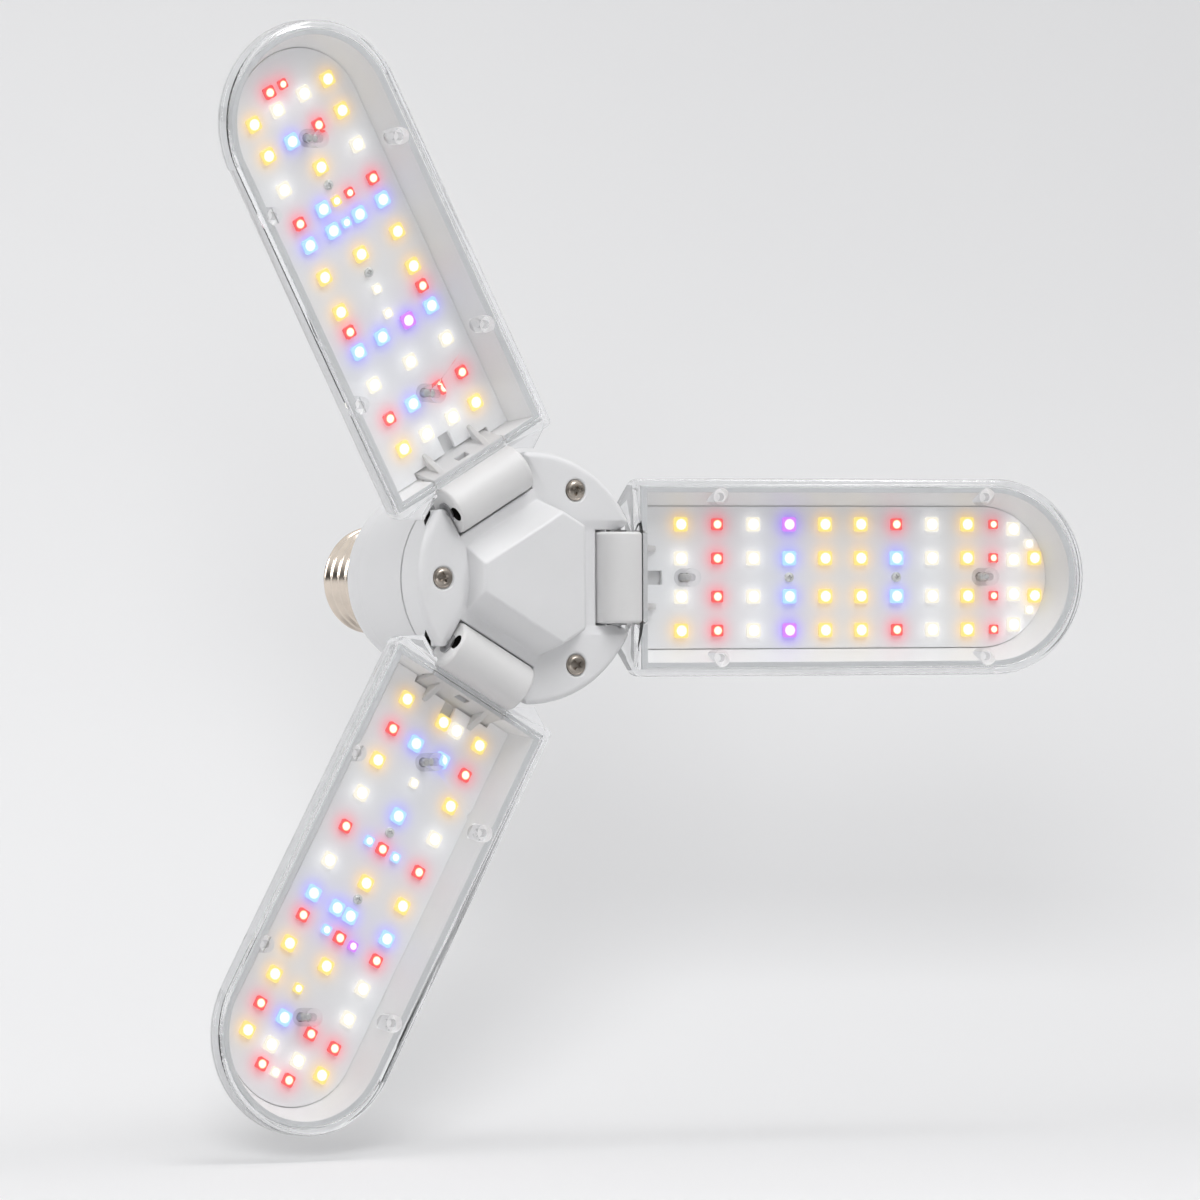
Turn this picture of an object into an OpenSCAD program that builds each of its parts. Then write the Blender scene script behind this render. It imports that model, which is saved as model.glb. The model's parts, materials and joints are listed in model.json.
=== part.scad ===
// Foldable LED grow light: a round hub on a screw lamp base carries three hinged wings.
// Lengths are in millimetres. The lamp's axis lies along Y, with the light side facing -Y,
// and the tip of the centre contact is at the origin.

/* [Hub] */
// Radius of the hub around its petals
hub_r = 30.3; // [29.5:0.1:31]
// Radius of the rounding around the petals
petal_round = 1.8; // [1:0.1:2]
// Radius of the petals' corners beside the bays
petal_corner = 2.5; // [2:0.1:3]
// Radius of the hub where the body meets the rear housing
joint_r = 24.8; // [24:0.1:26]
// Depth of the hub body's rear face behind the petals
body_depth = 20; // [18:0.5:24]
// Height of the plateau above the petals
plateau_h = 6.2; // [4:0.1:7]
// Distance from the axis to the plateau's long sides
plateau_long = 11.3; // [9:0.1:12]
// Distance from the axis to the plateau's short sides
plateau_short = 16.4; // [15:0.1:17]
// How far the plateau's long sides spread down to the bay floors
long_spread = 3.9; // [2:0.1:4.5]
// How far the plateau's short sides spread down to the bay floors
short_spread = 0.9; // [0.5:0.1:1.5]
// Depth of the bay floors below the petals
shelf_drop = 1.2; // [0.8:0.1:1.4]
// Wall of the moulded housings
shell_wall = 2; // [1.6:0.1:2.4]

/* [Rear housing and lamp base] */
// Length of the rear housing's straight cup
cup_len = 24.7; // [22:0.1:30]
// Width of the groove between the hub body and the rear housing
seam_w = 0.45; // [0.3:0.05:0.6]
// Radius of the cup at its back rim
cup_r = 23.3; // [22.5:0.1:24]
// Length of the shoulder from the cup to the lamp base
shoulder_len = 15; // [12:0.5:20]
// Outer radius of the lamp base thread
thread_r = 13.2; // [13.1:0.05:13.25]
// Pitch of the lamp base thread
thread_pitch = 3.63; // [3.5:0.01:3.7]
// Number of thread ridges
thread_turns = 5; // [4:1:5]
// Length of the plain collar in front of the thread
collar_len = 5.5; // [4:0.5:8]
// Length of the insulator behind the shell
insulator_len = 4.5; // [4:0.1:6]
// Length that the centre contact stands out of the insulator
contact_len = 2; // [1.5:0.1:2.5]

/* [Hinges] */
// Distance of the hinge axes inside the hub's radius
hinge_inset = 5.8; // [5.6:0.1:6]
// Depth of the hinge axes behind the petals
hinge_depth = 2.2; // [2:0.1:2.4]
// Radius of the knuckles
knuckle_r = 6.1; // [5.6:0.1:6.2]
// Length of the knuckles
knuckle_len = 22; // [20:0.5:22]
// Radius of the hinge pins
pin_r = 1.1; // [0.9:0.05:1.2]
// Length of the hinge pins
pin_len = 30; // [28:0.5:31]
// Radial clearance of the pins in the knuckles
pin_clear = 0.05; // [0.02:0.01:0.09]
// Thickness of the friction washers
washer_t = 0.4; // [0.3:0.05:0.5]
// Resting fold of the right wing, in degrees forward of flat
tilt_right = 8; // [0:1:12]
// Resting fold of the upper wing, in degrees forward of flat
tilt_upper = 5; // [0:1:12]
// Resting fold of the lower wing, in degrees forward of flat
tilt_lower = 2; // [0:1:12]

/* [Wings] */
// Distance from a hinge axis to the end of its wing's cover
cover_start = 4.7; // [4.4:0.1:5.4]
// Length of a wing's cover
wing_len = 118.7; // [112:0.1:130]
// Width of a wing
wing_w = 47.8; // [46:0.1:50]
// Depth of the covers' front rim behind the petals
cover_drop = 0.8; // [0.5:0.1:1]
// Depth of a cover's side band, from the rim
band_depth = 5.2; // [4.8:0.1:6]
// Wall of the clear cover
cover_wall = 1.6; // [1.2:0.1:1.8]
// Thickness of the cover's front plate
plate_t = 1.4; // [1:0.1:1.6]
// Width of the rim around the front plate
rim_w = 2.2; // [1.8:0.1:2.4]
// Height of the rim above the front plate
rim_h = 0.8; // [0.4:0.1:1]
// Depth of a wing from the rim to the tray's back
wing_depth = 14; // [13.6:0.1:16]
// Half width of the tray's back
back_hw = 18.9; // [18.2:0.1:19.4]
// Wall of the tray
tray_wall = 1.6; // [1.4:0.1:1.7]

/* [Boards and LEDs] */
// Width of an LED board
board_w = 34.4; // [33:0.1:34.8]
// Thickness of an LED board
board_t = 1.2; // [1:0.1:1.6]
// Depth of the board's face behind the cover's rim
board_drop = 9; // [8.6:0.1:9.2]
// Side of a full LED package
led_w = 3.5; // [3:0.1:3.6]
// Side of a small LED package
led_small_w = 2.3; // [2:0.1:2.5]
// Height of an LED package
led_h = 0.8; // [0.6:0.1:1]
// Distance of the outer LED columns from the board's edge on the right wing
led_edge_right = 4.3; // [3.6:0.1:5.2]
// Distance of the outer LED columns from the board's edge on the other wings
led_edge_side = 5.9; // [4:0.1:6.2]

/* [Hidden] */
hinge_r = hub_r - hinge_inset;
wing_start = hinge_r + cover_start;
wing_tip = wing_start + wing_len;
// Radial gap between a knuckle and its bay
bay_gap = 0.4;
// Gap at each face of a friction washer
washer_gap = 0.05;
bay_hw = knuckle_len / 2 + washer_t + 2 * washer_gap;
bay_flare = 2.3;
bay_r = knuckle_r + bay_gap;
bay_side = bay_hw + 0.2;
bay_floor = hinge_depth + bay_r + 0.7;
arm_under = 1.2 - bay_floor;
screw_circle_r = 24.17;
core_r = 15.5;
joint_lip = 3;
joint_clear = 0.15;
lip_t = 1;
board_seat = body_depth + 6;
driver_t = 1.6;
driver_r = joint_r - shell_wall - joint_clear - lip_t - 0.25;
thread_groove = 1.1;
shell_t = 0.5;
shell_end_len = 2.4;
spigot_r = thread_r - thread_groove - shell_t - 0.05;
cup_end = body_depth + cup_len;
shell_start = cup_end + shoulder_len;
shell_end = shell_start + collar_len + thread_turns * thread_pitch + shell_end_len;
insulator_end = shell_end + insulator_len;
base_end = insulator_end + contact_len;

wing_hw = wing_w / 2;
tip_u = wing_tip - wing_hw;
rim_z = -cover_drop;
plate_z = rim_z - rim_h;
under_z = plate_z - plate_t;
band_z = rim_z - band_depth;
back_z = rim_z - wing_depth;
floor_z = back_z + tray_wall;
face_z = rim_z - board_drop;
seat_z = face_z - board_t;
lip_gap = 0.15;
mid_start = hinge_r + knuckle_r + 0.25;
recess_start = mid_start + 1.3;
lip_hw = wing_hw - cover_wall - lip_gap;
tray_start = wing_start + cover_wall + lip_gap;
tray_top = under_z - 0.05;
end_slope = 0.8;
end_inner = tray_start + 1.75;
leg_end = end_inner + 1.75;
pocket_hw = board_w / 2 + 0.3;
board_start = end_inner + 0.3;
board_len = tip_u + board_w / 2 - board_start;
notch_end = leg_end + 0.25;
ear_clear_r = hub_r + 0.7;
ear_top = under_z;
arm_top = under_z - 0.2;
arm_hw = knuckle_len / 2;
foot_top = seat_z - 0.2;
arm_screw_u = leg_end + 3.9;
foot_end = arm_screw_u + 2.8;
channel_z = -5.7;
side_post_r = 2;
centre_post_r = 2.2;
side_post_v = wing_hw - 4.4;
post_hole_r = 0.97;
screw_r = 0.95;
small_screw_r = 0.7;
housing_screw_len = bay_floor + 0.5;
cover_screw_len = 5.8;
connector_len = 6;
connector_w = 5;
connector_h = 1.7;

WINGS = ["right", "upper", "lower"];
TILTS = [tilt_right, tilt_upper, tilt_lower];
SPREADS = [board_w / 2 - led_edge_right, board_w / 2 - led_edge_side, board_w / 2 - led_edge_side];

// Places along each board are shares of its length from the hinge end.
// Side posts and centre posts of the covers, and the screws of the boards
SIDE_POSTS = [[0.1756, 0.8272], [0.2357, 0.707], [0.2403, 0.7163]];
CENTRE_POSTS = [[0.1063, 0.8364], [0.1617, 0.7994], [0.1617, 0.7994]];
BOARD_SCREWS = [[0.3651, 0.6285], [0.4649, 0.683], [0.3392, 0.5065]];

// LED rows of each board: place, the packages across the board and, near the tip, a narrower spread.
// W white, Y warm, R red, B blue, P violet; small letters are small packages.
LED_COLUMNS = [-1, -0.63, -0.36, 0, 0.36, 0.63, 1];
LED_ROWS = [
    [[0.1017, "Y.W.W.Y"], [0.1895, "R.R.R.R"], [0.2773, "W.W.W.W"], [0.3651, "P.B.B.P"], [0.4529, "Y.Y.Y.Y"],
     [0.5407, "Y.Y.Y.Y"], [0.6285, "R.B.B.R"], [0.7163, "W.W.W.W"], [0.8041, "Y.Y.Y.Y"], [0.8688, "r.r.r.r"],
     [0.9187, "W.W.W.W", 0.91], [0.9575, ".w...w."], [0.9713, "..Y.Y.."]],
    [[0.0786, "Y.W.W.Y"], [0.1553, "R.R.B.R"], [0.2403, "W..W..W"], [0.3235, "B.P.B.B"], [0.3623, "...w..."],
     [0.3734, "R.....R"], [0.4233, "Y..w..Y"], [0.5102, "Y..Y..Y"], [0.5896, "B.BbB.B"], [0.6433, "R.ryB.R"],
     [0.7274, "W..Y..W"], [0.8115, "Y.R.B.Y"], [0.8891, "Y.W.W.Y"], [0.9325, "...rR.."]],
    [[0.061, "Y..YW.Y"], [0.1359, "R.B.B.R"], [0.2144, "Y..w..Y"], [0.2976, "W..B..W"], [0.3808, "R.bRb.R"],
     [0.4658, "W..Y..Y"], [0.5481, "B.BB..B"], [0.6026, "R.bRp.R"], [0.6728, "Y..Y..W"], [0.7486, "Y.y...W"],
     [0.8207, "R.B.R.R"], [0.8872, "Y.W.W.Y"], [0.9353, "..RwR.."]]
];
GROUPS = [["white", "Ww", "white"], ["warm", "Yy", "gold"], ["red", "Rr", "red"],
          ["blue", "Bb", "dodgerblue"], ["violet", "Pp", "orchid"]];

plastic = "whitesmoke";
steel = "dimgray";

// Radius of the tapered skirt at a depth behind the petals
function skirt_r(depth) = hub_r - (hub_r - joint_r) * (depth - petal_round) / (body_depth - petal_round);

// Distance from the lamp's axis of a place given as a share of the board's length
function along(share) = board_start + share * board_len;

// Side of an LED package by its letter
function led_side(c) =
    search(c, "wyrbp") != [] ? led_small_w
    : c == "R" ? 0.5 * (led_w + led_small_w)
    : led_w;

// The lamp's own frame has its axis along z with the petals at z = 0
module lamp() {
    rotate([90, 0, 0]) translate([0, 0, base_end]) children();
}

// A wing's own frame: x along the wing from the lamp's axis, y across it, z forward
module wing(i) {
    lamp() rotate([0, 0, 120 * i])
        translate([hinge_r, 0, -hinge_depth]) rotate([0, -TILTS[i], 0]) translate([-hinge_r, 0, hinge_depth])
            children();
}

module three() {
    for (a = [0, 120, 240]) rotate([0, 0, a]) children();
}

// A rod along y
module rod_y(r, len) {
    rotate([90, 0, 0]) rotate([0, 0, 45]) cylinder(r = r, h = len, center = true, $fn = 48);
}

// Raised middle: long sides over the three bays, short sides at the petals, all leaning in
module plateau() {
    edge = 0.5;
    intersection_for(a = [0, 60, 120, 180, 240, 300]) {
        top = a % 120 == 0 ? plateau_long : plateau_short;
        foot = a % 120 == 0 ? plateau_long + long_spread : plateau_short + short_spread;
        rotate([0, 0, a]) rotate([90, 0, 0]) linear_extrude(90, center = true)
            polygon([[-45, -shelf_drop], [foot, -shelf_drop], [top, plateau_h - edge],
                     [top - edge, plateau_h], [-45, plateau_h]]);
    }
}

// Bay between two petals, with flared upper walls
module bay() {
    top = 12;
    translate([plateau_long - 1, 0, 0]) rotate([90, 0, 90]) linear_extrude(30)
        polygon([[-bay_hw, -shelf_drop], [bay_hw, -shelf_drop], [bay_hw + bay_flare, 0.01],
                 [bay_hw + bay_flare, top], [-bay_hw - bay_flare, top], [-bay_hw - bay_flare, 0.01]]);
}

// Room for a knuckle and its arm
module knuckle_slot() {
    translate([hinge_r, 0, -hinge_depth]) rod_y(bay_r, 2 * bay_hw);
    translate([hinge_r, -bay_hw - 0.2, -bay_floor]) cube([20, 2 * bay_hw + 0.4, bay_floor + 12]);
}

module pin_bores() {
    three() translate([hinge_r, 0, -hinge_depth]) rod_y(pin_r + 0.02, pin_len + 0.6);
}

// Windows in the walls beside the bays, behind the pins
module pin_windows() {
    window = 1.6;
    three() both_sides() translate([hinge_r + 0.5 - window / 2, bay_hw - 0.5, 0.7 - bay_floor])
        cube([window, 10, bay_floor - hinge_depth - pin_r - 1.1]);
}

// What the rounding of the petals' corners takes off
module petal_corners() {
    v = bay_side + petal_corner - 0.1;
    u = sqrt(pow(hub_r - petal_corner + 0.1, 2) - v * v);
    three() both_sides() translate([u, v, 0.5 - bay_floor]) difference() {
        linear_extrude(bay_floor + 2) polygon([[0, 0], [0, -6], [8, -6], [8, 8 * v / u]]);
        translate([0, 0, -1]) cylinder(r = petal_corner, h = bay_floor + 4, $fn = 48);
    }
}

module screw_places() {
    for (a = [60, 180, 300]) rotate([0, 0, a]) translate([screw_circle_r, 0, 0]) children();
}

module front_cover() color(plastic) lamp() {
    difference() {
        union() {
            difference() {
                rotate_extrude($fn = 128)
                    polygon(concat([[0, 0]],
                        [for (a = [90:-15:0]) [hub_r - petal_round + petal_round * cos(a),
                                               -petal_round + petal_round * sin(a)]],
                        [[skirt_r(hinge_depth), -hinge_depth], [0, -hinge_depth]]));
                three() bay();
            }
            plateau();
        }
        three() knuckle_slot();
        pin_bores();
        petal_corners();
        translate([0, 0, -hinge_depth - 1])
            cylinder(r = plateau_long - 2.3, h = plateau_h + hinge_depth - 1.5, $fn = 64);
        screw_places() {
            translate([0, 0, -hinge_depth - 1]) cylinder(r = 1.6, h = 10, $fn = 32);
            translate([0, 0, -0.6]) cylinder(r = 2.75, h = 5, $fn = 48);
        }
    }
}

module hub_body() color(plastic) lamp() {
    deck = -bay_floor - 2.5;
    difference() {
        rotate_extrude($fn = 128)
            polygon([[core_r, -hinge_depth], [skirt_r(hinge_depth), -hinge_depth],
                     [joint_r, -body_depth], [joint_r - shell_wall, -body_depth],
                     [skirt_r(-deck) - shell_wall, deck], [core_r, deck]]);
        three() {
            knuckle_slot();
            translate([core_r - 2, 0, channel_z]) rotate([0, 90, 0]) cylinder(r = 1.6, h = 8, $fn = 32);
        }
        pin_bores();
        pin_windows();
        petal_corners();
        screw_places() translate([0, 0, -bay_floor - 3]) cylinder(r = 1.25, h = bay_floor + 3, $fn = 32);
    }
}

module rear_housing() color(plastic) lamp() {
    neck_r = thread_r + 0.9;
    inner_r = driver_r + 0.25;
    steps = [0:9:90];
    rotate_extrude($fn = 128)
        polygon(concat(
            [[inner_r, joint_lip - body_depth], [inner_r + lip_t, joint_lip - body_depth],
             [inner_r + lip_t, -body_depth], [joint_r - 0.6, -body_depth],
             [joint_r - 0.6, -body_depth - seam_w], [joint_r, -body_depth - seam_w],
             [cup_r + 0.3, 1 - cup_end]],
            [for (a = steps) [neck_r + (cup_r - neck_r) * cos(a), -cup_end - shoulder_len * sin(a)]],
            [[spigot_r, -shell_start], [spigot_r, 1.6 - shell_end], [spigot_r - 1.6, 1.6 - shell_end]],
            [for (a = [90:-9:0]) [spigot_r - 1.6 + (cup_r - shell_wall - spigot_r + 1.6) * cos(a),
                                  -cup_end - (shoulder_len - shell_wall) * sin(a)]],
            [[driver_r - 1.2, -board_seat - driver_t - 3], [driver_r - 1.2, -board_seat - driver_t],
             [inner_r, -board_seat - driver_t]]));
}

// A pan head screw with a cross recess, head at the top
module pan_screw(head_r, head_h, shank_r, shank_len) {
    difference() {
        union() {
            intersection() {
                cylinder(r = head_r, h = head_h, $fn = 48);
                translate([0, 0, head_h - 2 * head_r]) sphere(r = 2 * head_r, $fn = 64);
            }
            translate([0, 0, -shank_len]) cylinder(r = shank_r, h = shank_len + 0.1, $fn = 32);
        }
        for (a = [0, 90]) rotate([0, 0, a])
            translate([-0.64 * head_r, -0.17 * head_r, 0.3 * head_h]) cube([1.28 * head_r, 0.34 * head_r, 5]);
    }
}

module housing_screws() color(steel) lamp() {
    screw_places() translate([0, 0, -0.6]) rotate([0, 0, 20]) pan_screw(2.5, 1, 1.23, housing_screw_len);
}

module hinge_pins() color("silver") lamp() {
    three() translate([hinge_r, 0, -hinge_depth]) rod_y(pin_r, pin_len);
}

module hinge_washers() color(steel) lamp() {
    three() for (s = [-1, 1]) translate([hinge_r, s * (arm_hw + washer_gap + washer_t / 2), -hinge_depth])
        difference() {
            rod_y(2.5, washer_t);
            rod_y(pin_r + pin_clear, 2 * washer_t);
        }
}

module screw_shell() color("tan") lamp() {
    thread_start = shell_start + collar_len;
    groove_r = thread_r - thread_groove;
    rotate_extrude($fn = 96)
        polygon(concat(
            [[spigot_r + 0.05, -shell_start], [thread_r - 0.3, -shell_start],
             [thread_r - 0.3, 1 - thread_start]],
            [for (k = [0:thread_turns - 1], a = [0:45:315])
                [groove_r + thread_groove * (1 - cos(a)) / 2, -thread_start - thread_pitch * (k + a / 360)]],
            [[groove_r, -thread_start - thread_turns * thread_pitch], [groove_r - 0.9, -shell_end],
             [groove_r - 1.6, -shell_end], [spigot_r + 0.05, 1.2 - shell_end]]));
}

module base_insulator() color("dimgray") lamp() {
    outer = thread_r - thread_groove - 1;
    rotate_extrude($fn = 96)
        polygon([[1, -shell_end], [outer, -shell_end], [outer - 0.8, -shell_end - 1],
                 [6.5, -insulator_end], [1, -insulator_end]]);
}

module centre_contact() color("tan") lamp() {
    flat = 3.4;
    rotate_extrude($fn = 64)
        polygon(concat([[0, -insulator_end], [flat + contact_len, -insulator_end]],
            [for (a = [15:15:90]) [flat + contact_len * cos(a), -insulator_end - contact_len * sin(a)]],
            [[0, -base_end]]));
}

module driver_board() color("seagreen") lamp() {
    difference() {
        translate([0, 0, -board_seat - driver_t]) cylinder(r = driver_r, h = driver_t, $fn = 96);
        translate([0, 9, -board_seat - 3]) cylinder(r = 2.5, h = 5, $fn = 32);
        for (s = [-1, 1]) translate([0, s * 3, -board_seat - 3]) cylinder(r = 0.85, h = 5, $fn = 32);
    }
}

// Things on the rear face of the driver board
module on_driver(x, y) {
    translate([x, y, -board_seat - driver_t]) mirror([0, 0, 1]) children();
}

module driver_coil() color("gold") lamp() on_driver(-10.5, 0) {
    translate([-6, -6.5, 0]) cube([12, 13, 2.5]);
    translate([-5, -5.5, 2.5]) cube([10, 11, 6]);
    translate([-6, -6.5, 8.5]) cube([12, 13, 2]);
}

module driver_capacitor() color("midnightblue") lamp() on_driver(10.5, 0) {
    cylinder(r = 5, h = 15, $fn = 64);
    translate([0, 0, 15]) cylinder(r = 4.4, h = 0.5, $fn = 64);
}

module driver_parts() color("darkorange") lamp() {
    on_driver(-3, 12.5) translate([-4, -2, 0]) cube([8, 4, 7]);
    on_driver(1, -12.5) translate([-4.5, -2, 0]) cube([9, 4, 6]);
    on_driver(10, -10) cylinder(r = 2.2, h = 6, $fn = 32);
}

module supply_leads() color("firebrick") lamp() {
    for (y = [-3, 3]) translate([0, y, 0.2 - shell_end])
        cylinder(r = 0.8, h = shell_end - board_seat - 0.4, $fn = 24);
}

// A form with the half cross-section PROFILE (y, z), straight from x = START and round at the tip
module tongue(profile, start, tip = tip_u) {
    translate([start, 0, 0]) rotate([90, 0, 90]) linear_extrude(tip - start) {
        polygon(profile);
        mirror([1, 0]) polygon(profile);
    }
    translate([tip, 0, 0]) rotate([0, 0, -90]) rotate_extrude(angle = 180, $fn = 96) polygon(profile);
}

module both_sides() {
    children();
    mirror([0, 1, 0]) children();
}

// Hinge end of a cover beside the arm, with a slanted corner and room for the petal
module ear() {
    top_v = wing_hw - 0.3;
    a0 = asin((arm_hw + 0.35) / ear_clear_r);
    a1 = 34;
    translate([0, 0, band_z]) linear_extrude(ear_top - band_z)
        polygon(concat(
            [[wing_start + cover_wall, top_v], [wing_start + 1.2, top_v], [wing_start + 0.4, top_v - 0.2],
             [wing_start - 0.2, top_v - 0.8]],
            [for (k = [0:4]) ear_clear_r * [cos(a1 + (a0 - a1) * k / 4), sin(a1 + (a0 - a1) * k / 4)]],
            [[wing_start + cover_wall, arm_hw + 0.35]]));
}

// Room for the knuckle in the end of a cover, with slanted edges beside it
module knuckle_room() {
    room_hw = arm_hw + 0.35;
    slant_v = wing_hw - 1;
    translate([wing_start - 3, -room_hw, band_z - 1])
        cube([mid_start - wing_start + 3, 2 * room_hw, band_depth + 4]);
    translate([0, 0, under_z + 0.1]) linear_extrude(5)
        polygon([[wing_start - 3, slant_v], [wing_start - 0.35, slant_v], [mid_start, room_hw],
                 [mid_start, -room_hw], [wing_start - 0.35, -slant_v], [wing_start - 3, -slant_v]]);
}

module cover(i) color("lightblue", 0.4) wing(i) {
    edge = 0.9;
    corner = 2;
    inner_hw = wing_hw - cover_wall;
    difference() {
        union() {
            difference() {
                tongue([[0, band_z], [wing_hw, band_z], [wing_hw, rim_z - edge],
                        [wing_hw - 0.3 * edge, rim_z - 0.3 * edge], [wing_hw - edge, rim_z], [0, rim_z]],
                       wing_start);
                tongue([[0, band_z - 1], [inner_hw, band_z - 1], [inner_hw, under_z], [0, under_z]],
                       wing_start + cover_wall);
                tongue([[0, plate_z], [wing_hw - rim_w, plate_z], [wing_hw - rim_w, 1], [0, 1]], recess_start);
                knuckle_room();
                both_sides() difference() {
                    translate([wing_start - 1, wing_hw - corner, band_z - 1])
                        cube([corner + 1, corner + 1, band_depth + 2]);
                    translate([wing_start + corner, wing_hw - corner, band_z - 2])
                        cylinder(r = corner, h = band_depth + 4, $fn = 48);
                }
            }
            both_sides() ear();
            for (f = SIDE_POSTS[i], s = [-1, 1])
                translate([along(f), s * side_post_v, band_z - 1.9])
                    cylinder(r = side_post_r, h = under_z - band_z + 2, $fn = 48);
            for (f = CENTRE_POSTS[i])
                translate([along(f), 0, face_z + 0.05])
                    cylinder(r = centre_post_r, h = under_z - face_z, $fn = 48);
        }
        for (f = SIDE_POSTS[i], s = [-1, 1])
            translate([along(f), s * side_post_v, band_z - 3])
                cylinder(r = post_hole_r, h = under_z - band_z + 2, $fn = 32);
        for (f = CENTRE_POSTS[i])
            translate([along(f), 0, face_z - 1]) cylinder(r = post_hole_r, h = under_z - face_z, $fn = 32);
    }
}

// Screw places of a wing's back
module back_screws(i) {
    for (f = CENTRE_POSTS[i]) translate([along(f), 0, back_z]) children();
}

module arm_screw_places() {
    for (s = [-1, 1]) translate([arm_screw_u, s * 4.5, back_z]) children();
}

module screw_recess() {
    translate([0, 0, -1]) cylinder(r = 2.3, h = 2.2, $fn = 48);
    translate([0, 0, -1]) cylinder(r = screw_r + 0.15, h = 10, $fn = 32);
}

module tray(i) color("gainsboro") wing(i) {
    slope_end = tray_start + end_slope;
    difference() {
        union() {
            difference() {
                intersection() {
                    tongue([[0, back_z], [back_hw - 0.6, back_z], [back_hw, back_z + 0.6],
                            [lip_hw, band_z - 0.1], [lip_hw, tray_top], [0, tray_top]], tray_start);
                    rotate([90, 0, 0]) linear_extrude(80, center = true)
                        polygon([[tray_start, 0], [tray_start, band_z - 0.1], [slope_end, back_z],
                                 [wing_tip + 10, back_z], [wing_tip + 10, 0]]);
                }
                tongue([[0, floor_z], [pocket_hw - 2, floor_z], [pocket_hw - 2, seat_z], [pocket_hw, seat_z],
                        [pocket_hw, face_z], [lip_hw - tray_wall, tray_top], [lip_hw - tray_wall, 1], [0, 1]],
                       end_inner);
            }
            for (f = concat(CENTRE_POSTS[i], BOARD_SCREWS[i]))
                translate([along(f), 0, floor_z - 0.5]) cylinder(r = 3, h = seat_z - floor_z + 0.5, $fn = 48);
            for (v = [-12:4:12])
                translate([along(0.21), v - 0.5, back_z - 0.6]) cube([0.52 * board_len, 1, 1]);
        }
        translate([tray_start - 1, -arm_hw - 0.25, arm_under - 0.3])
            cube([end_inner - tray_start + 2, 2 * arm_hw + 0.5, 20]);
        for (f = SIDE_POSTS[i], s = [-1, 1])
            translate([along(f), s * side_post_v, band_z - 2])
                cylinder(r = side_post_r + 0.2, h = 10, $fn = 48);
        back_screws(i) screw_recess();
        arm_screw_places() screw_recess();
        for (f = BOARD_SCREWS[i])
            translate([along(f), 0, floor_z]) cylinder(r = small_screw_r + 0.02, h = 10, $fn = 32);
    }
}

// Hinge knuckle along y, with rounded ends
module knuckle() {
    round = 0.8;
    inner_r = knuckle_r - round;
    inner_hw = arm_hw - round;
    rotate([90, 0, 0]) rotate([0, 0, 45]) rotate_extrude($fn = 96)
        polygon(concat([[0, arm_hw]],
            [for (a = [90:-30:0]) [inner_r + round * cos(a), inner_hw + round * sin(a)]],
            [for (a = [0:30:90]) [inner_r + round * cos(a), -inner_hw - round * sin(a)]],
            [[0, -arm_hw]]));
}

// Knuckle, arm through the cover's end, gussets, and foot in the tray
module arm(i) color(plastic) wing(i) {
    top_end = leg_end - 1.7;
    difference() {
        union() {
            translate([hinge_r, 0, -hinge_depth]) knuckle();
            rotate([90, 0, 0]) linear_extrude(knuckle_len - 0.5, center = true)
                polygon([[hinge_r, arm_top], [top_end, arm_top], [leg_end, foot_top],
                         [leg_end, floor_z + 0.1], [leg_end - 1.6, floor_z + 0.1],
                         [leg_end - 1.6, arm_under], [hinge_r + 1, arm_under]]);
            translate([leg_end - 0.5, -9, floor_z + 0.1])
                cube([foot_end - leg_end + 0.5, 18, foot_top - floor_z - 0.1]);
            for (v = [-7, 7]) translate([0, v, 0]) rotate([90, 0, 0]) linear_extrude(1.5, center = true)
                polygon([[top_end - 0.5, arm_top - 0.3], [leg_end + 3.2, face_z + 0.1],
                         [leg_end - 0.7, face_z + 0.1]]);
        }
        translate([hinge_r, 0, -hinge_depth]) rod_y(pin_r + pin_clear, 2 * knuckle_len);
        for (s = [-1, 1]) translate([hinge_r - 0.4, s * (arm_hw - 2.5), 3.6 - hinge_depth]) rod_y(1.75, 6);
        translate([hinge_r - knuckle_r - 1, -1.6, channel_z - 1.1])
            cube([leg_end + 2 - hinge_r + knuckle_r, 3.2, 2.2]);
        arm_screw_places() cylinder(r = post_hole_r, h = wing_depth, $fn = 32);
    }
}

module board(i) color("white") wing(i) {
    difference() {
        union() {
            translate([board_start, -board_w / 2, seat_z]) cube([tip_u - board_start, board_w, board_t]);
            translate([tip_u, 0, seat_z]) cylinder(r = board_w / 2, h = board_t, $fn = 96);
        }
        translate([board_start - 1, -arm_hw - 0.35, seat_z - 1])
            cube([notch_end - board_start + 1, 2 * arm_hw + 0.7, 4]);
        translate([board_start, -1.7, seat_z - 1]) cube([notch_end + 4.5 - board_start, 3.4, 4]);
        for (f = CENTRE_POSTS[i])
            translate([along(f), 0, seat_z - 1]) cylinder(r = screw_r + 0.2, h = 4, $fn = 32);
        for (f = BOARD_SCREWS[i])
            translate([along(f), 0, seat_z - 1]) cylinder(r = small_screw_r + 0.15, h = 4, $fn = 32);
    }
}

// One LED package with its round well
module led(side) {
    difference() {
        translate([-side / 2, -side / 2, 0]) cube([side, side, led_h]);
        translate([0, 0, led_h - 0.25]) cylinder(r = 0.36 * side, h = 1, $fn = 24);
    }
}

module leds(i, letters, tint) color(tint) wing(i) {
    for (row = LED_ROWS[i], k = [0:len(LED_COLUMNS) - 1])
        if (search(row[1][k], letters) != [])
            translate([along(row[0]), SPREADS[i] * (len(row) > 2 ? row[2] : 1) * LED_COLUMNS[k], face_z])
                led(led_side(row[1][k]));
}

module board_screws(i) color(steel) wing(i) {
    for (f = BOARD_SCREWS[i]) translate([along(f), 0, face_z]) pan_screw(1.2, 0.7, small_screw_r, 3);
}

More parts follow.
